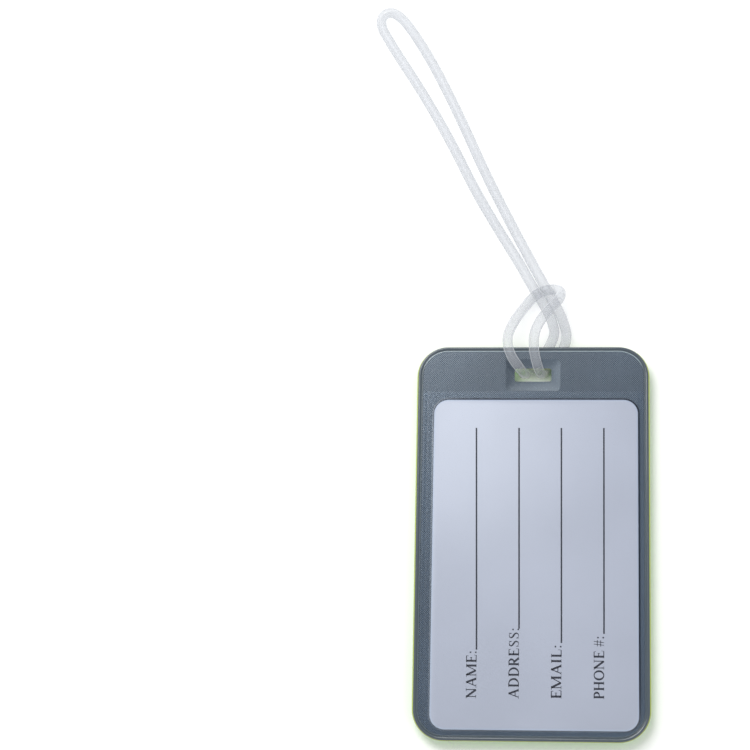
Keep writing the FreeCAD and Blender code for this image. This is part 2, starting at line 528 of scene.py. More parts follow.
@dataclass(frozen=True)
class GlossSheet(Finish):
    """Smooth coloured vinyl with a faint waviness and fine scuffs."""

    patch: float = 0.02
    wave: float = 0.00005
    coat: float = 0.0

    def dress(self, g: Graph, shader: Node, place: NodeSocket, effects: Effects) -> None:
        """Add the finish's own nodes."""
        marks = effects.marks(g, place, self.patch, 0.0004)
        grain, scuffs = marks.outputs["Grain"], marks.outputs["Scuffs"]
        # In this finish the share is the scuffs' wear alone.
        wear_and_edge_highlight = g.math("MULTIPLY", scuffs, 0.25)
        g.feed(shader.inputs["Base Color"], g.blend(wear_and_edge_highlight, self.mottle(g, marks, 0.02), self.shade(1.3)))
        rough = g.math("MULTIPLY_ADD", grain, 0.08, self.roughness - 0.04)
        g.feed(shader.inputs["Roughness"], g.math("MULTIPLY_ADD", scuffs, 0.15, rough))
        shader.inputs["Coat Weight"].default_value = self.coat
        g.bump(shader, g.math("MULTIPLY_ADD", grain, 0.06, marks.outputs["Patches"]), self.wave, 1.0)


@dataclass(frozen=True)
class WeldedSheet(GlossSheet):
    """Welded vinyl with a painted highlight: a pale line along the bead, full along the header and faint
    elsewhere.
    """

    header_highlight: Colour = (0.34, 0.42, 0.47, 1.0)
    highlight_at: float = 1.38
    highlight_reach: float = 0.3
    highlight_from: Flat = (47.0, 51.0)
    highlight_elsewhere: float = 0.15

    def dress(self, g: Graph, shader: Node, place: NodeSocket, effects: Effects) -> None:
        """Add the finish's own nodes."""
        super().dress(g, shader, place, effects)
        # Painted highlight: this pale line stands in for light caught along the bead.
        line = effects.line(g, place, (0.0, 0.0), Pouch().size, self.highlight_at, self.highlight_reach)
        seen = g.math("MULTIPLY", line, g.spread(g.along(place, 1), *self.highlight_from, self.highlight_elsewhere, 1.0))
        plain = shader.inputs["Base Color"].links[0].from_socket
        g.feed(shader.inputs["Base Color"], g.blend(seen, plain, self.header_highlight))


@dataclass(frozen=True)
class EdgeGlowSheet(GlossSheet):
    """Coloured vinyl with a painted glow on its cut edges, at the rim and on the slot's walls, in paler
    colours than its faces.
    """

    # The two colours below are painted glow, at the rim band and on the slot's walls.
    edge: Colour = (0.47, 0.52, 0.13, 1.0)
    slot_glow: Colour = (0.82, 0.84, 0.42, 1.0)
    glow_reach: float = 0.9
    slot_glow_reach: float = 0.6

    def dress(self, g: Graph, shader: Node, place: NodeSocket, effects: Effects) -> None:
        """Add the finish's own nodes."""
        super().dress(g, shader, place, effects)
        tag = Pouch()
        # Painted glow: paler colour at the rim band and on the slot's walls stands in for light that the cut
        # edges seem to gather.
        rim = effects.line(g, place, (0.0, 0.0), tag.size, 0.0, self.glow_reach)
        hole = effects.line(g, place, (0.0, tag.slot_y), tag.slot_size, 0.0, self.slot_glow_reach)
        upright = g.node("ShaderNodeSeparateXYZ", {0: place.node.outputs["Normal"]}).outputs[2]
        wall = g.spread(g.math("ABSOLUTE", upright), 0.3, 0.8, 1.0, 0.0)
        plain = shader.inputs["Base Color"].links[0].from_socket
        rim_glowed = g.blend(rim, plain, self.edge)
        g.feed(shader.inputs["Base Color"], g.blend(g.math("MULTIPLY", wall, hole), rim_glowed, self.slot_glow))


@dataclass(frozen=True)
class CellFoam(Finish):
    """Soft open padding with small round cells, with painted shade in the cells' hollows."""

    def dress(self, g: Graph, shader: Node, place: NodeSocket, effects: Effects) -> None:
        """Add the finish's own nodes."""
        cells = g.node("ShaderNodeTexVoronoi", {"Vector": place, "Scale": 1600.0}).outputs["Distance"]
        marks = effects.marks(g, place, 0.012, 0.0006)
        # Painted shade: the cells' hollows are darkened to 0.6 of the colour.
        cell_shade = g.blend(g.spread(cells, 0.1, 0.6, 0.0, 1.0), self.shade(0.6), self.colour)
        g.feed(shader.inputs["Base Color"], g.blend(marks.outputs["Patches"], cell_shade, self.shade(0.95)))
        self.roughen(g, shader, marks.outputs["Grain"], 0.1)
        g.bump(shader, cells, 0.0003, 0.8)


@dataclass(frozen=True)
class FibreBoard(Finish):
    """Pale pressed board with short fibres."""

    def dress(self, g: Graph, shader: Node, place: NodeSocket, effects: Effects) -> None:
        """Add the finish's own nodes."""
        fibres = g.noise(g.vector("MULTIPLY", place, (1.0, 0.25, 1.0)), 3200.0, 5.0, 0.7)
        marks = effects.marks(g, place, 0.02, 0.0005)
        tone = g.blend(fibres, self.shade(0.85), self.shade(1.08))
        g.feed(shader.inputs["Base Color"], g.blend(marks.outputs["Patches"], tone, self.shade(0.92)))
        self.roughen(g, shader, fibres, 0.15, 0.08)
        g.bump(shader, fibres, 0.00005, 0.6)


@dataclass(frozen=True)
class DimpledSheet(Finish):
    """Grey vinyl pressed with a fine lattice of dimples, with painted shade in them, which fades where a tool
    pressed it flat.
    """

    pitch: float = 0.6
    pit_shade: Colour = (0.004, 0.006, 0.012, 1.0)
    coat: float = 0.9
    fade: Flat | None = None
    faded: float = 0.12

    def dress(self, g: Graph, shader: Node, place: NodeSocket, effects: Effects) -> None:
        """Add the finish's own nodes."""
        lattice = g.group(effects.lattice, {"Place": place, "Pitch": self.pitch})
        marks = effects.marks(g, place, 0.022, 0.0003)
        pits = lattice.outputs["Pits"]
        if self.fade is not None:
            pits = g.math("MULTIPLY", pits, g.spread(g.along(place, 0), *self.fade, 1.0, self.faded))
        # Painted shade: the dimples are filled with a near-black colour.
        g.feed(shader.inputs["Base Color"], g.blend(pits, self.mottle(g, marks, 0.15), self.pit_shade))
        self.roughen(g, shader, marks.outputs["Grain"], 0.12, 0.06)
        shader.inputs["Coat Roughness"].default_value = 0.2
        shader.inputs["Specular IOR Level"].default_value = 0.7
        shader.inputs["Specular Tint"].default_value = (0.7, 0.86, 1.0, 1.0)
        ridge = g.math("SUBTRACT", 1.0, pits)
        g.feed(shader.inputs["Coat Weight"], g.math("MULTIPLY", ridge, self.coat))
        g.bump(shader, ridge, 0.00005, 0.8)


@dataclass(frozen=True)
class ClearSheet(Finish):
    """Thin clear vinyl: see-through, with a soft haze, gloss, the print of the card's edge, and a painted
    shadow and painted highlight along that edge.
    """

    haze: float = 0.004
    bend: float = 1.3

    def dress(self, g: Graph, shader: Node, place: NodeSocket, effects: Effects) -> None:
        """Add the finish's own nodes."""
        marks = effects.marks(g, place, 0.015, 0.0006)
        card = IdCard()
        edge = effects.line(g, place, (card.x, card.y), card.size, -0.2, 0.35)
        shader.inputs["Metallic"].default_value = 1.0
        self.roughen(g, shader, marks.outputs["Patches"], 0.06)
        height = g.math("MULTIPLY_ADD", edge, 0.3, marks.outputs["Patches"])
        normal = g.bump(shader, height, 0.0001, 0.4)
        # Painted shadow and highlight: along the card's outline the film is tinted dark on the right and top
        # and made more reflective on the left and bottom, as if lit from the upper left.
        up_share = g.math("MULTIPLY", g.along(place, 1), 1 / card.length)
        lean = g.math("MULTIPLY_ADD", g.along(place, 0), 1 / card.width, up_share)
        shadow_side = g.spread(lean, -0.25, 0.15, 0.0, 1.0)
        painted_edge_shadow = g.math("MULTIPLY", edge, shadow_side)
        painted_edge_highlight = g.math("MULTIPLY", edge, g.math("SUBTRACT", 1.0, shadow_side))
        tint = g.blend(g.math("MULTIPLY", painted_edge_shadow, 0.55), (0.97, 0.985, 1.0, 1.0), (0.1, 0.12, 0.2, 1.0))
        gloss = g.node("ShaderNodeFresnel", {"IOR": self.bend, "Normal": normal}).outputs[0]
        outer = g.math("SUBTRACT", 1.0, g.node("ShaderNodeNewGeometry").outputs["Backfacing"])
        body = g.math("MULTIPLY", outer, g.math("ADD", gloss, g.math("MULTIPLY_ADD", painted_edge_highlight, 0.1, self.haze)))
        g.see_through(shader, body, tint)


@dataclass(frozen=True)
class ClearRod(Finish):
    """Milky clear plastic cord: denser at its rim, where a paler colour is painted as a highlight, with gloss
    highlights and a light shadow.
    """

    middle: float = 0.24
    rim: float = 0.5
    rim_highlight: Colour = (0.64, 0.66, 0.69, 1.0)
    tint: Colour = (0.955, 0.958, 0.965, 1.0)

    def dress(self, g: Graph, shader: Node, place: NodeSocket, effects: Effects) -> None:
        """Add the finish's own nodes."""
        marks = effects.marks(g, place, 0.02, 0.0008)
        tone = g.blend(marks.outputs["Patches"], self.shade(0.94), self.shade(1.06))
        self.roughen(g, shader, marks.outputs["Grain"], 0.08)
        facing = g.node("ShaderNodeLayerWeight", {"Blend": 0.5}).outputs["Facing"]
        rim = g.spread(facing, 0.25, 0.6, 0.0, 1.0)
        # Painted highlight: the rim as seen from the camera is paler, standing in for light that the cord
        # bends at its edges.
        g.feed(shader.inputs["Base Color"], g.blend(rim, tone, self.rim_highlight))
        body = g.spread(rim, 0.0, 1.0, self.middle, self.rim)
        shadow = g.node("ShaderNodeLightPath").outputs["Is Shadow Ray"]
        seen = g.math("MULTIPLY", body, g.math("MULTIPLY_ADD", shadow, -0.7, 1.0))
        g.see_through(shader, seen, self.tint)


@dataclass(frozen=True)
class CoatedCard(Finish):
    """Smooth card stock with a faint mottle and a painted pale bluish highlight along its edge."""

    edge: Colour = (0.44, 0.52, 0.64, 1.0)

    def dress(self, g: Graph, shader: Node, place: NodeSocket, effects: Effects) -> None:
        """Add the finish's own nodes."""
        card = IdCard()
        rim = effects.line(g, place, (card.x, card.y), card.size, 0.0, 0.7)
        marks = effects.marks(g, place, 0.03, 0.0004)
        # Painted highlight: a pale bluish band along the card's outline, at half share.
        wear_and_edge_highlight = g.math("MULTIPLY", rim, 0.5)
        g.feed(shader.inputs["Base Color"], g.blend(wear_and_edge_highlight, self.mottle(g, marks, 0.03), self.edge))
        self.roughen(g, shader, marks.outputs["Grain"], 0.1)
        g.bump(shader, marks.outputs["Grain"], 0.00001, 0.5)


@dataclass(frozen=True)
class PrintInk(Finish):
    """Near-black print that is a little uneven."""

    def dress(self, g: Graph, shader: Node, place: NodeSocket, effects: Effects) -> None:
        """Add the finish's own nodes."""
        marks = effects.marks(g, place, 0.004, 0.0002)
        g.feed(shader.inputs["Base Color"], g.blend(marks.outputs["Grain"], self.colour, self.shade(1.8)))
        self.roughen(g, shader, marks.outputs["Patches"], 0.15)


# --------------------------------------------------------------------------- camera, strap


@dataclass
class Studio:
    """Camera, soft lights and the pale floor."""

    place: Point = (0.01872, -0.12854, 0.69523)
    right: Point = (0.99621981, 0.02081895, -0.08433662)
    up: Point = (0.00047250, 0.96954358, 0.24491840)
    back: Point = (0.08686697, -0.24403241, 0.96586868)
    lens: float = 124.8
    floor_size: float = 6.0
    room: float = 0.68

    def camera(self) -> None:
        """Make the camera at the tag's viewing angle."""
        data = bpy.data.cameras.new("Camera")
        data.lens = self.lens
        data.sensor_width = 36.0
        data.clip_start = 0.01
        data.clip_end = 20.0
        camera = link("Camera", data)
        turn = Matrix((self.right, self.up, self.back)).transposed()
        camera.matrix_world = Matrix.Translation(self.place) @ turn.to_4x4()
        bpy.context.scene.camera = camera

    @staticmethod
    def panel(name: str, place: Point, target: Point, size: Flat, power: float, tint: Point) -> None:
        """A rectangular soft light that faces a point."""
        data = bpy.data.lights.new(name, "AREA")
        data.shape = "RECTANGLE"
        data.size, data.size_y = size
        data.energy = power
        data.color = tint
        lamp = link(name, data)
        lamp.location = place
        lamp.rotation_mode = "QUATERNION"
        lamp.rotation_quaternion = (Vector(target) - Vector(place)).to_track_quat("-Z", "Y")

    def lights(self) -> None:
        """Set the room's even light and the soft panels."""
        scene = bpy.context.scene
        world = bpy.data.worlds.new("Room")
        world.use_nodes = True
        background = world.node_tree.nodes["Background"]
        background.inputs["Color"].default_value = (*COOL, 1.0)
        background.inputs["Strength"].default_value = self.room
        scene.world = world
        scene.view_settings.view_transform = "Standard"
        self.panel("Overhead", (-0.26, 0.48, 0.82), (-0.05, 0.1, 0.0), (0.5, 0.5), 4.9, WARM)
        self.panel("Side", (-0.32, 0.32, 0.38), (0.0, 0.02, 0.0), (0.3, 0.3), 0.55, COOL)
        self.panel("Fill", (0.8, -0.5, 0.9), (0.0, 0.0, 0.0), (0.8, 0.8), 1.6, WARM)

    def floor(self) -> None:
        """Make the pale floor, which isn't part of the tag."""
        half = self.floor_size / 2
        mesh = bpy.data.meshes.new("Floor")
        corners = [(-half, -half, 0), (half, -half, 0), (half, half, 0), (-half, half, 0)]
        mesh.from_pydata(corners, [], [(0, 1, 2, 3)])
        material, g, shader, place = Finish("Pale_floor", (0.93, 0.93, 0.93, 1.0), 0.7).start()
        tone = g.blend(g.noise(place, 6.0), (0.95, 0.95, 0.95, 1.0), (0.965, 0.965, 0.965, 1.0))
        g.feed(shader.inputs["Base Color"], tone)
        shader.inputs["Specular IOR Level"].default_value = 0.1
        mesh.materials.append(material)
        link("Floor", mesh)

    def build(self) -> None:
        """Make everything round the tag."""
        self.camera()
        self.lights()
        self.floor()
        LOG.info("studio ready")


@dataclass
class StrapCord:
    """Ring of round clear cord: doubled, passed through the slot and looped round its own strands."""

    diameter: float = 2.8
    length: float = 322.0
    start: Point = (2.1, 51.09, 1.45)
    route: tuple[Point, ...] = (
        (6.2, 57.0, 1.45),
        (5.0, 62.2, 3.1),
        (2.6, 66.4, 4.5),
        (-0.4, 71.2, 4.5),
        (-4.3, 78.8, 3.0),
        (-9.8, 88.2, 1.45),
        (-16.5, 99.8, 1.45),
        (-23.6, 114.6, 1.45),
        (-32.0, 129.6, 1.45),
        (-40.0, 142.2, 1.45),
        (-45.4, 151.7, 1.45),
        (-39.9, 155.0, 1.45),
        (-31.2, 142.3, 1.45),
        (-22.4, 124.8, 1.45),
        (-13.6, 104.6, 1.45),
        (-6.4, 90.0, 1.45),
        (-1.0, 79.2, 3.0),
        (3.05, 71.2, 4.5),
        (5.8, 66.4, 4.5),
        (8.05, 62.1, 3.1),
        (9.5, 57.2, 1.45),
        (7.0, 51.3, 1.45),
        (2.5, 46.4, 1.45),
        (1.6, 46.5, 7.4),
        (0.2, 51.9, 7.7),
        (0.3, 57.0, 7.6),
        (1.9, 60.6, 7.5),
        (4.4, 63.9, 7.4),
        (7.16, 66.56, 7.4),
        (7.78, 69.56, 5.06),
        (5.5, 71.3, 1.75),
        (0.8, 70.2, 1.45),
        (-3.2, 65.0, 2.4),
        (-5.6, 60.6, 4.8),
        (-7.2, 56.0, 7.0),
        (-6.4, 51.0, 7.7),
        (-3.1, 46.5, 7.4),
        (-2.2, 46.4, 1.45),
    )
    finish: ClearRod = ClearRod("Clear_cord", (0.49, 0.51, 0.54, 1.0), 0.2)

    def curve(self) -> bpy.types.Curve:
        """The cord's centreline with its round section."""
        data = bpy.data.curves.new("Strap_cord", "CURVE")
        data.dimensions = "3D"
        data.resolution_u = 14
        data.bevel_depth = self.diameter / 2 * MM
        data.bevel_resolution = 7
        data.use_fill_caps = True
        spline = data.splines.new("NURBS")
        points = (self.start, *self.route, self.start)
        spline.points.add(len(points) - 1)
        for control, point in zip(spline.points, points):
            control.co = (*(Vector(point) * MM), 1.0)
        spline.order_u = 3
        spline.use_endpoint_u = True
        return data

    def build(self, effects: Effects) -> Object:
        """Make the cord."""
        material = self.finish.build(effects)
        piece = place("strap_cord", self.curve(), Body.STRAP, Slot.CORD, material, ("strap_loop",))
        Vector(self.start) * MM
        return piece


# --------------------------------------------------------------------------- pouch


@dataclass
class Pouch:
    """Sizes that the pouch's sheets share, in mm."""

    width: float = 63.5
    length: float = 108.0
    corner: float = 8.5
    crown: float = 3.3
    sheet: float = 0.6
    back: float = 3.9
    slot_width: float = 10.0
    slot_height: float = 3.7
    slot_corner: float = 0.7
    slot_y: float = 46.0
    mouth_y: float = 41.2
    inset: float = 0.3
    weld: float = 1.15

    @property
    def size(self) -> Point:
        """The tag's width, length and corner radius."""
        return self.width, self.length, self.corner

    @property
    def slot_size(self) -> Point:
        """The slot's width, height and corner radius."""
        return self.slot_width, self.slot_height, self.slot_corner

    def slot_tool(self) -> Mesh:
        """A block through the sheets in the slot's shape."""
        loop = rounded_loop(*self.slot_size, 0.0, self.slot_y, 5)
        return shell("Slot_tool", [at_height(loop, -1.0), at_height(loop, 8.0)])

    def outline(self, inset: float, turns: int = 14) -> list[Flat]:
        """The tag's outline, moved inwards."""
        return rounded_loop(self.width - 2 * inset, self.length - 2 * inset, self.corner - inset, turns=turns)


@dataclass
class FrontCover(Pouch):
    """Glossy front sheet: flat rim and header, and a soft crown drawn down over the padding."""

    foot_inset: float = 1.5
    slope: float = 8.5
    foot_corner: float = 7.0
    flat_corner: float = 5.0
    steps: int = 14
    header_reach: float = 9.0
    puff: float = 0.05
    finish: GlossSheet = EdgeGlowSheet("Lime_gloss_vinyl", (0.262, 0.68, 0.016, 1.0), 0.12, coat=0.6)

    def crown_ring(self, inset: float, low: float, share: float) -> list[Point]:
        """One ring of the crown's surface.

        Args:
            inset: how far inside the outer crown this surface lies, in mm.
            low: height of its flat middle, in mm.
            share: from 0 at its foot to 1 at the flat.

        Returns:
            The ring's points.
        """
        low_y = -self.length / 2 + self.foot_inset + inset
        high_y = self.mouth_y - inset
        angle = math.pi / 2 * share
        shrink = self.slope * (1 - math.cos(angle))
        fall = shrink / self.slope
        radius = self.foot_corner + fall * (self.flat_corner - self.foot_corner)
        width = self.width - 2 * self.foot_inset - 2 * inset - 2 * shrink
        loop = rounded_loop(width, high_y - low_y - 2 * shrink, radius, 0.0, (high_y + low_y) / 2, 14)
        round_drop = math.sin(angle)
        soft_drop = ease(fall)
        ring = []
        for x, y in loop:
            header_share = ease((y - high_y + shrink + self.header_reach) / self.header_reach)
            puff = self.puff * math.sin(y * 0.31 + 1.0) * math.sin(math.pi * share) ** 2
            drop = round_drop + (soft_drop - round_drop) * header_share
            ring.append((x, y, self.crown - (self.crown - low) * drop + puff))
        return ring

    def rings(self) -> list[list[Point]]:
        """All rings, from the hollow's floor over the rim to the crown's flat."""
        rings = [self.crown_ring(self.sheet, self.sheet, 1 - k / self.steps) for k in range(self.steps + 1)]
        rings.append([(x, y, self.back) for x, y, _ in rings[-1]])
        rim = ((0.12, self.back), (0.03, self.back - 0.06), (0.0, self.back - 0.18), (0.0, self.crown + 0.18))
        rim += ((0.03, self.crown + 0.06), (0.12, self.crown))
        rings += [at_height(self.outline(inset), z) for inset, z in rim]
        rings.append(self.groove(1.05, 0.0))
        rings.append(self.groove(1.25, 0.22))
        rings += [self.crown_ring(0.0, 0.0, k / self.steps) for k in range(self.steps + 1)]
        return rings

    def groove(self, inset: float, depth: float) -> list[Point]:
        """A ring under the rim that sinks in along the long sides only."""
        return [
            (x, y, self.crown + depth * ease((40.0 - abs(y + 5.0)) / 3.0) * ease((abs(x) - 25.0) / 4.0))
            for x, y in self.outline(inset)
        ]

    def build(self, effects: Effects) -> Object:
        """Make the cover with its slot."""
        mesh = cut(shell("Front_cover", self.rings()), self.slot_tool())
        material = self.finish.build(effects)
        return place("front_cover_sheet", mesh, Body.POUCH, Slot.GREEN, material, ("front_cover",))


@dataclass
class Padding(FrontCover):
    """Soft pad inside the crown, a little clear of the cover, with a gently uneven face."""

    gap: float = 0.14
    low_gap: float = 0.07
    top: float = 3.18
    finish: CellFoam = CellFoam("Padding_foam", (0.8, 0.8, 0.77, 1.0), 0.85)

    def build(self, effects: Effects) -> Object:
        """Make the pad."""
        low = []
        for k in range(self.steps + 1):
            share = k / self.steps
            highest = self.top - 0.1 - 0.01 * share
            ring = self.crown_ring(self.sheet + self.gap, self.sheet + self.low_gap, share)
            low.append([(x, y, min(z, highest)) for x, y, z in ring])
        lid = [(x, y, self.top) for x, y, _ in low[0]]
        mesh = shell("Padding", [lid, *low])
        piece = place("padding", mesh, Body.POUCH, Slot.FOAM, self.finish.build(effects), ("foam_pad",))
        return piece


@dataclass
class SheetNodes:
    """The flat sheets that stay as they come, each with its own finish."""

    board: FibreBoard = FibreBoard("Fibre_board", (0.76, 0.75, 0.71, 1.0), 0.8)
    backing: DimpledSheet = DimpledSheet("Dimpled_grey_vinyl", (0.052, 0.076, 0.112, 1.0), 0.24)

    def dress(self, effects: Effects) -> None:
        """Put the finishes on the sheets."""
        for name, finish in (("stiffener_board", self.board), ("mesh_backing", self.backing)):
            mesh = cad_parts[name].data
            mesh.materials.clear()
            mesh.materials.append(finish.build(effects))
            LOG.info("dressed %s", name)


def sweep_group(name: str, sizes: Sequence[str]) -> tuple[Graph, Node, Node]:
    """Start a geometry group that takes a mesh, some sizes and a material."""
    numbers = {size: Kind.NUMBER for size in sizes}
    inputs = {"Geometry": Kind.GEOMETRY, **numbers, "Material": Kind.MATERIAL}
    return new_group(name, "GeometryNodeTree", inputs, {"Geometry": Kind.GEOMETRY})


def sweep(g: Graph, source: Node, sink: Node, profile: NodeSocket) -> None:
    """Run a profile along the incoming edges, dress the result and send it out."""
    path = g.node("GeometryNodeMeshToCurve", {"Mesh": source.outputs["Geometry"]})
    upright = g.node("GeometryNodeSetCurveNormal", {"Curve": path.outputs[0]}, mode="Z_UP")
    inputs = {"Curve": upright.outputs[0], "Profile Curve": profile, "Fill Caps": True}
    swept = g.node("GeometryNodeCurveToMesh", inputs)
    real = g.node("GeometryNodeRealizeInstances", {"Geometry": swept.outputs[0]})
    inputs = {"Geometry": real.outputs[0], "Material": source.outputs["Material"]}
    g.feed(sink.inputs["Geometry"], g.node("GeometryNodeSetMaterial", inputs).outputs[0])


def bead_tree() -> NodeTree:
    """A tree that runs a shaped bead along every edge path of the mesh that it is given."""
    g, source, sink = sweep_group("WeldBead", ("Bead width", "Bead height"))
    count = 25
    line = g.node("GeometryNodeMeshLine", {"Count": count})
    share = g.math("DIVIDE", g.node("GeometryNodeInputIndex").outputs[0], float(count - 1))
    section = g.node("ShaderNodeFloatCurve", {"Value": share})
    shape_curve(section, BorderWeld.section)
    across = g.math("MULTIPLY", share, source.outputs["Bead width"])
    rise = g.math("MULTIPLY", section.outputs[0], source.outputs["Bead height"])
    turned = (-1.0, -1.0, 1.0)
    spot = g.vector("MULTIPLY", g.node("ShaderNodeCombineXYZ", {0: across, 1: rise}).outputs[0], turned)
    shaped = g.node("GeometryNodeSetPosition", {"Geometry": line.outputs[0], "Position": spot})
    profile = g.node("GeometryNodeMeshToCurve", {"Mesh": shaped.outputs[0]})
    ring = g.node("GeometryNodeSetSplineCyclic", {"Geometry": profile.outputs[0], "Cyclic": True})
    sweep(g, source, sink, ring.outputs[0])
    return g.tree


def shape_curve(node: Node, points: Sequence[Flat]) -> None:
    """Give a curve node its points."""
    curve = node.mapping.curves[0]
    while len(curve.points) > 2:
        curve.points.remove(curve.points[1])
    curve.points[0].location = points[0]
    curve.points[-1].location = points[-1]
    for spot in points[1:-1]:
        curve.points.new(*spot)
    for point in curve.points:
        point.handle_type = "AUTO_CLAMPED"
    node.mapping.update()


def grow(name: str, seed: Mesh, tree: NodeTree, values: dict[str, Any]) -> Mesh:
    """Run a geometry tree on a mesh.

    Args:
        name: name of the resulting mesh.
        seed: the mesh that the tree starts from.
        tree: the tree.
        values: values of its named inputs.

    Returns:
        The result as a plain mesh.
    """
    carrier = link(name + "_seed", seed)
    modifier = carrier.modifiers.new("Grow", "NODES")
    modifier.node_group = tree
    sockets = {item.name: item.identifier for item in tree.interface.items_tree if item.in_out == "INPUT"}
    for label, value in values.items():
        modifier[sockets[label]] = value
    mesh = evaluated_mesh(carrier)
    mesh.name = name
    bpy.data.objects.remove(carrier)
    bm = bmesh.new()
    bm.from_mesh(mesh)
    bmesh.ops.remove_doubles(bm, verts=bm.verts, dist=1e-7)
    bmesh.ops.recalc_face_normals(bm, faces=bm.faces)
    mark_sharp(bm, BEAD_SHARP)
    bm.to_mesh(mesh)
    bm.free()
    return mesh


def edge_paths(name: str, paths: Sequence[Sequence[Point]], closed: bool) -> Mesh:
    """A mesh of bare edges along paths given in mm."""
    points: list[Vector] = []
    edges: list[tuple[int, int]] = []
    for path in paths:
        first = len(points)
        points += [Vector(point) * MM for point in path]
        edges += [(first + k, first + k + 1) for k in range(len(path) - 1)]
        if closed:
            edges.append((len(points) - 1, first))
    mesh = bpy.data.meshes.new(name)
    mesh.from_pydata(points, edges, [])
    return mesh


@dataclass
class BorderWeld(Pouch):
    """Welded bead round the edge: a broad outer roll, a groove and a thin inner ridge."""

    height: float = 0.6
    bead_width: float = 1.45
    top_inset: float = 0.06
    foot_inset: float = 0.14
    section = (
        (0.0, 0.0),
        (0.03, 0.45),
        (0.12, 0.8),
        (0.3, 0.97),
        (0.5, 0.9),
        (0.64, 0.66),
        (0.71, 0.58),
        (0.77, 0.66),
        (0.84, 0.98),
        (0.9, 1.0),
        (0.95, 0.85),
        (0.985, 0.6),
        (1.0, 0.0),
    )
    finish: GlossSheet = WeldedSheet("Grey_welded_vinyl", (0.05, 0.07, 0.088, 1.0), 0.2, patch=0.03, coat=0.6)

    def build(self, effects: Effects) -> Object:
        """Make the bead."""
        length = self.length - self.top_inset - self.foot_inset
        shift = (self.foot_inset - self.top_inset) / 2
        path = rounded_loop(self.width - 2 * self.inset, length, self.corner - self.inset, 0.0, shift, 20)
        seed = edge_paths("Border_path", [at_height(path, self.back)], True)
        values = {
            "Bead width": self.bead_width * MM,
            "Bead height": self.height * MM,
            "Material": self.finish.build(effects),
        }
        mesh = grow("Border_weld", seed, bead_tree(), values)
        return place("border_weld_bead", mesh, Body.POUCH, Slot.WELD, None, ("border_weld",))


@dataclass
class SlotWeld(Pouch):
    """Flat pressed pad round the slot, with a slightly raised edge."""

    pad_width: float = 15.0
    pad_height: float = 9.0
    pad_corner: float = 1.2
    thickness: float = 0.35
    finish: DimpledSheet = DimpledSheet(
        "Pressed_grey_vinyl", (0.036, 0.053, 0.078, 1.0), 0.26, coat=0.6, fade=(-7.5, 4.0)
    )

    def build(self, effects: Effects) -> Object:
        """Make the pad with its slot."""
        top = self.back + self.thickness
        rings = []
        for inset, z in ((0.0, self.back), (0.0, top + 0.09), (0.5, top + 0.07), (1.8, top)):
            size = (self.pad_width - 2 * inset, self.pad_height - 2 * inset, self.pad_corner)
            rings.append(at_height(rounded_loop(*size, 0.0, self.slot_y, 6), z))
        mesh = cut(shell("Slot_weld", rings), self.slot_tool())
        return place("slot_weld_pad", mesh, Body.POUCH, Slot.WELD, self.finish.build(effects), ("slot_weld",))


@dataclass
class WindowFilm(Pouch):
    """Clear sheet over the card, which dips to its seams on three sides and is open at the header."""

    seam_z: float = 4.46
    top_z: float = 5.0
    dip: float = 1.4
    roll: float = 0.12
    thickness: float = 0.1
    finish: ClearSheet = ClearSheet("Clear_vinyl", (0.88, 0.93, 1.0, 1.0), 0.22)

    def height(self, x: float, y: float, half: float, low_y: float, corner: float) -> float:
        """Height of the film above a point, from how far it lies inside the three seams."""
        over_x = abs(x) - (half - corner)
        over_y = (low_y + corner) - y
        outer = math.hypot(max(over_x, 0.0), max(over_y, 0.0))
        inside = corner - outer - min(max(over_x, over_y), 0.0)
        roll = self.roll * math.exp(-(((inside - 0.45) / 0.22) ** 2))
        return self.seam_z + (self.top_z - self.seam_z) * ease((inside - 0.3) / self.dip) + roll

    def build(self, effects: Effects) -> Object:
        """Make the film."""
        inset = self.inset + self.weld
        half = self.width / 2 - inset
        low_y = -self.length / 2 + inset
        corner = self.corner - inset
        steps = (0.0, 0.12, 0.24, 0.36, 0.48, 0.6, 0.75, 0.9, 1.1, 1.35, 1.6, 1.9, 2.4, 4.0)
        upper, lower = [], []
        for step in steps:
            loop = self.loop(half - step, low_y + step, max(corner - step, 0.6), step)
            upper.append([(x, y, self.height(x, y, half, low_y, corner)) for x, y in loop])
            lower.append([(x, y, self.height(x, y, half, low_y, corner) - self.thickness) for x, y in loop])
        mesh = shell("Window_film", lower[::-1] + upper)
        material = self.finish.build(effects)
        return place("window_film_sheet", mesh, Body.POUCH, Slot.FILM, material, ("window_film",))

    def loop(self, half: float, low_y: float, corner: float, step: float) -> list[Flat]:
        """The film's outline with rounded lower corners and tight upper ones."""
        top = self.mouth_y - step
        points = []
        for cx, cy, radius, start in (
            (half - 0.3, top - 0.3, 0.3, 0),
            (-half + 0.3, top - 0.3, 0.3, 90),
            (-half + corner, low_y + corner, corner, 180),
            (half - corner, low_y + corner, corner, 270),
        ):
            for k in range(13):
                angle = math.radians(start + 90 * k / 12)
                points.append((cx + radius * math.cos(angle), cy + radius * math.sin(angle)))
            if start == 0:
                along = [half - 0.3 - reach for reach in (0.25, 0.5, 0.8, 1.1, 1.5, 2.2, 4.0)]
                points += [(x, top) for x in (*along, *(-x for x in reversed(along)))]
        return points


# --------------------------------------------------------------------------- card


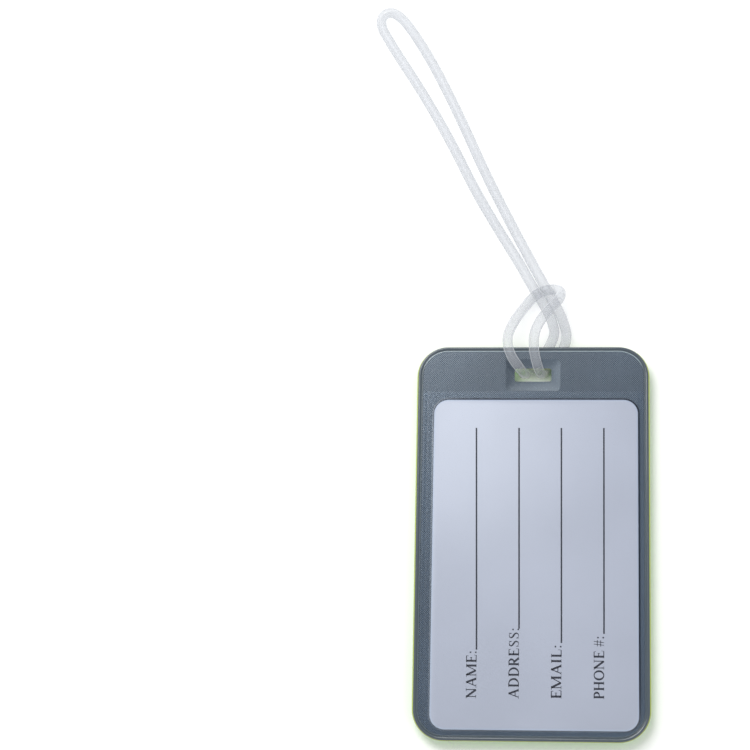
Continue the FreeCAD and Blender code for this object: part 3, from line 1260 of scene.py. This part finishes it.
@dataclass
class IdCard:
    """Loose paper card in the pocket."""

    width: float = 55.5
    length: float = 90.0
    corner: float = 4.0
    x: float = 0.8
    y: float = -6.05
    bottom: float = 4.43
    thickness: float = 0.3

    @property
    def size(self) -> Point:
        """The card's width, length and corner radius."""
        return self.width, self.length, self.corner

    @property
    def top(self) -> float:
        """Height of the card's face."""
        return self.bottom + self.thickness

    def build(self, effects: Effects) -> Object:
        """Make the card with softly rounded edges."""
        sides = (
            (0.08, self.bottom),
            (0.0, self.bottom + 0.06),
            (0.0, self.top - 0.06),
            (0.03, self.top - 0.02),
            (0.08, self.top),
        )
        rings = []
        for inset, z in sides:
            size = (self.width - 2 * inset, self.length - 2 * inset, self.corner - inset)
            rings.append(at_height(rounded_loop(*size, self.x, self.y, 14), z))
        mesh = shell("Id_card", rings)
        material = CoatedCard("Coated_card", (0.435, 0.44, 0.5, 1.0), 0.3).build(effects)
        return place("id_card_sheet", mesh, Body.CARD, Slot.CARD, material, ("id_card",))


@dataclass
class Lettering:
    """Plain serif capitals built from pen strokes, in units of the capitals' height."""

    thick: float = 0.2
    thin: float = 0.085
    serif: float = 0.17

    def bar(self, x0: float, y0: float, x1: float, y1: float, width: float) -> Strokes:
        """A straight stroke as one outline."""
        along = Vector((x1 - x0, y1 - y0)).normalized() * width / 2
        side = Vector((-along.y, along.x))
        start, end = Vector((x0, y0)), Vector((x1, y1))
        return [[tuple(start - side), tuple(end - side), tuple(end + side), tuple(start + side)]]

    def stem(self, x: float, feet: str = "ud", width: float | None = None) -> Strokes:
        """An upright stroke with serifs up and down."""
        strokes = self.bar(x, 0.0, x, 1.0, self.thick if width is None else width)
        if "u" in feet:
            strokes += self.foot(x, 1.0)
        if "d" in feet:
            strokes += self.foot(x, 0.0)
        return strokes

    def foot(self, x: float, y: float) -> Strokes:
        """A serif across the end of a stroke, inside the capitals' height."""
        level = 0.022 if y < 0.5 else 0.978
        return self.bar(x - self.serif, level, x + self.serif, level, 0.044)

    def bowl(
        self, x: float, y: float, reach_x: float, reach_y: float, first: float, last: float
    ) -> Strokes:
        """A round stroke, thick at its sides and thin at its top and bottom.

        Args:
            x: centre across.
            y: centre up.
            reach_x: half width to the stroke's middle.
            reach_y: half height to the stroke's middle.
            first: start angle in degrees.
            last: end angle in degrees.

        Returns:
            Short quadrilaterals along the stroke.
        """
        steps = max(4, int(abs(last - first) / 15))
        inner, outer = [], []
        for k in range(steps + 1):
            angle = math.radians(first + (last - first) * k / steps)
            width = self.thin + (self.thick - self.thin) * abs(math.cos(angle)) ** 1.5
            c, s = math.cos(angle), math.sin(angle)
            inner.append((x + (reach_x - width / 2) * c, y + (reach_y - width / 2) * s))
            outer.append((x + (reach_x + width / 2) * c, y + (reach_y + width / 2) * s))
        return [[inner[k], outer[k], outer[k + 1], inner[k + 1]] for k in range(steps)]

    def spine(self, points: Sequence[Point]) -> Strokes:
        """A curved stroke through points whose third number is its width there."""
        left, right = [], []
        for k, (x, y, width) in enumerate(points):
            before, after = points[max(k - 1, 0)], points[min(k + 1, len(points) - 1)]
            along = Vector((after[0] - before[0], after[1] - before[1])).normalized() * width / 2
            left.append((x - along.y, y + along.x))
            right.append((x + along.y, y - along.x))
        return [[right[k], right[k + 1], left[k + 1], left[k]] for k in range(len(points) - 1)]

    def glyph(self, letter: str) -> tuple[float, Strokes]:
        """A letter's width and its strokes."""
        thick, thin = self.thick, self.thin
        bar, stem, foot, bowl, spine = self.bar, self.stem, self.foot, self.bowl, self.spine
        makers: dict[str, Callable[[], tuple[float, Strokes]]] = {
            "N": lambda: (
                1.09,
                stem(0.2, "d", thin) + bar(0.16, 0.96, 0.88, 0.02, thick) + stem(0.89, "u", thin)
                + foot(0.14, 1.0),
            ),
            "A": lambda: (
                1.09,
                bar(0.17, 0.02, 0.54, 0.97, thin) + bar(0.52, 0.99, 0.9, 0.02, thick)
                + bar(0.29, 0.34, 0.77, 0.34, thin) + foot(0.17, 0.0) + foot(0.9, 0.0),
            ),
            "M": lambda: (
                1.34,
                stem(0.18, "d", thin) + bar(0.18, 0.98, 0.63, 0.05, thick)
                + bar(0.63, 0.03, 1.1, 0.98, thin) + stem(1.12) + foot(0.14, 1.0),
            ),
            "E": lambda: (
                0.92,
                stem(0.26) + bar(0.2, 0.975, 0.76, 0.975, thin) + bar(0.75, 1.0, 0.77, 0.78, 0.045)
                + bar(0.2, 0.025, 0.82, 0.025, thin) + bar(0.81, 0.0, 0.85, 0.26, 0.045)
                + bar(0.26, 0.52, 0.6, 0.52, thin) + bar(0.6, 0.4, 0.6, 0.64, 0.045),
            ),
            "D": lambda: (
                1.09,
                stem(0.27) + bar(0.2, 0.973, 0.48, 0.973, thin) + bar(0.2, 0.027, 0.48, 0.027, thin)
                + bowl(0.46, 0.5, 0.47, 0.473, -90, 90),
            ),
            "R": lambda: (
                1.0,
                stem(0.26) + bar(0.2, 0.973, 0.5, 0.973, thin) + bar(0.26, 0.49, 0.5, 0.49, thin)
                + bowl(0.47, 0.73, 0.27, 0.243, -90, 90) + bar(0.47, 0.5, 0.86, 0.02, thick)
                + foot(0.86, 0.0),
            ),
            "S": lambda: (
                0.84,
                spine(
                    (
                        (0.66, 0.74, 0.05), (0.6, 0.9, 0.05), (0.42, 0.975, 0.055), (0.26, 0.91, 0.1),
                        (0.2, 0.77, 0.14), (0.28, 0.63, 0.155), (0.44, 0.53, 0.165), (0.6, 0.42, 0.155),
                        (0.67, 0.26, 0.14), (0.6, 0.1, 0.1), (0.42, 0.027, 0.055), (0.24, 0.09, 0.05),
                        (0.16, 0.26, 0.05),
                    )
                )
                + bar(0.66, 1.0, 0.66, 0.72, 0.045) + bar(0.16, 0.28, 0.16, 0.0, 0.045),
            ),
            "I": lambda: (0.5, stem(0.25)),
            "L": lambda: (
                0.92,
                stem(0.26) + bar(0.2, 0.025, 0.8, 0.025, thin) + bar(0.79, 0.0, 0.83, 0.3, 0.045),
            ),
            "P": lambda: (
                0.84,
                stem(0.26) + bar(0.2, 0.973, 0.46, 0.973, thin) + bar(0.26, 0.47, 0.46, 0.47, thin)
                + bowl(0.43, 0.72, 0.29, 0.253, -90, 90),
            ),
            "H": lambda: (1.09, stem(0.25) + stem(0.84) + bar(0.25, 0.51, 0.84, 0.51, thin)),
            "O": lambda: (1.09, bowl(0.545, 0.5, 0.42, 0.475, 0, 360)),
            ":": lambda: (0.42, bar(0.2, 0.0, 0.2, 0.15, 0.15) + bar(0.2, 0.52, 0.2, 0.67, 0.15)),
            "#": lambda: (
                0.78,
                bar(0.2, 0.0, 0.32, 1.0, 0.06) + bar(0.47, 0.0, 0.59, 1.0, 0.06)
                + bar(0.06, 0.33, 0.7, 0.33, 0.07) + bar(0.09, 0.66, 0.73, 0.66, 0.07),
            ),
            " ": lambda: (0.3, []),
        }
        return makers[letter]()

    def line(self, words: str) -> tuple[float, Strokes]:
        """A line of letters: its width and all strokes."""
        pen = 0.0
        strokes: Strokes = []
        for letter in words:
            width, parts = self.glyph(letter)
            strokes += [[(x + pen, y) for x, y in part] for part in parts]
            pen += width
        return pen, strokes


@dataclass(frozen=True)
class Entry:
    """One entry of the card: a heading and the rule after it, in mm."""

    heading: str
    heading_length: float
    low: Flat
    high: Flat


@dataclass
class CardPrint(IdCard):
    """Printed headings and rules, as a thin layer of ink on the card."""

    cap_height: float = 2.7
    heading_y: float = -42.75
    side_space: float = 0.2
    rule_width: float = 0.42
    ink: float = 0.012
    entries: tuple[Entry, ...] = (
        Entry("NAME:", 12.4, (-14.6, -29.7), (-15.3, 31.05)),
        Entry("ADDRESS:", 18.6, (-3.3, -24.0), (-3.7, 31.05)),
        Entry("EMAIL:", 14.1, (8.0, -27.7), (7.8, 31.05)),
        Entry("PHONE #:", 16.6, (19.3, -25.2), (19.3, 31.05)),
    )
    finish: PrintInk = PrintInk("Print_ink", (0.006, 0.006, 0.014, 1.0), 0.6)

    def rule_tree(self) -> NodeTree:
        """A tree that turns every edge into a thin flat printed rule."""
        g, source, sink = sweep_group("PrintedRule", ("Rule width", "Ink thickness"))
        size = {"Width": source.outputs["Rule width"], "Height": source.outputs["Ink thickness"]}
        sweep(g, source, sink, g.node("GeometryNodeCurvePrimitiveQuadrilateral", size).outputs[0])
        return g.tree

    def rules(self, ink: Material) -> Object:
        """Make the four rules."""
        level = self.top + self.ink / 2
        paths = [[(*entry.low, level), (*entry.high, level)] for entry in self.entries]
        values = {"Rule width": self.rule_width * MM, "Ink thickness": self.ink * MM, "Material": ink}
        mesh = grow("Card_rules", edge_paths("Rule_paths", paths, False), self.rule_tree(), values)
        return place("card_rules", mesh, Body.CARD, Slot.INK, None)

    def headings(self, ink: Material) -> Object:
        """Make the headings, read from the card's foot upwards."""
        letters = Lettering()
        bm = bmesh.new()
        for entry in self.entries:
            width, strokes = letters.line(entry.heading)
            stretch = entry.heading_length / (width - self.side_space)
            for stroke in strokes:
                corners = []
                for x, y in stroke:
                    spot = (entry.low[0] - y * self.cap_height, self.heading_y + x * stretch, self.top)
                    corners.append(bm.verts.new(Vector(spot) * MM))
                face = bm.faces.new(corners)
                raised = bmesh.ops.extrude_face_region(bm, geom=[face])["geom"]
                lift = [item for item in raised if isinstance(item, bmesh.types.BMVert)]
                bmesh.ops.translate(bm, verts=lift, vec=(0, 0, self.ink * MM))
        bmesh.ops.recalc_face_normals(bm, faces=bm.faces)
        return place("card_headings", to_mesh("Card_headings", bm), Body.CARD, Slot.INK, ink)

    def build(self, effects: Effects) -> None:
        """Print the card."""
        ink = self.finish.build(effects)
        self.rules(ink)
        self.headings(ink)


def main() -> None:
    """Build every piece in order."""
    logging.basicConfig(level=logging.INFO, format="%(name)s: %(message)s")
    effects = Effects()
    Studio().build()
    StrapCord().build(effects)
    FrontCover().build(effects)
    Padding().build(effects)
    SheetNodes().dress(effects)
    BorderWeld().build(effects)
    SlotWeld().build(effects)
    WindowFilm().build(effects)
    IdCard().build(effects)
    CardPrint().build(effects)


if __name__ == "__main__":
    main()
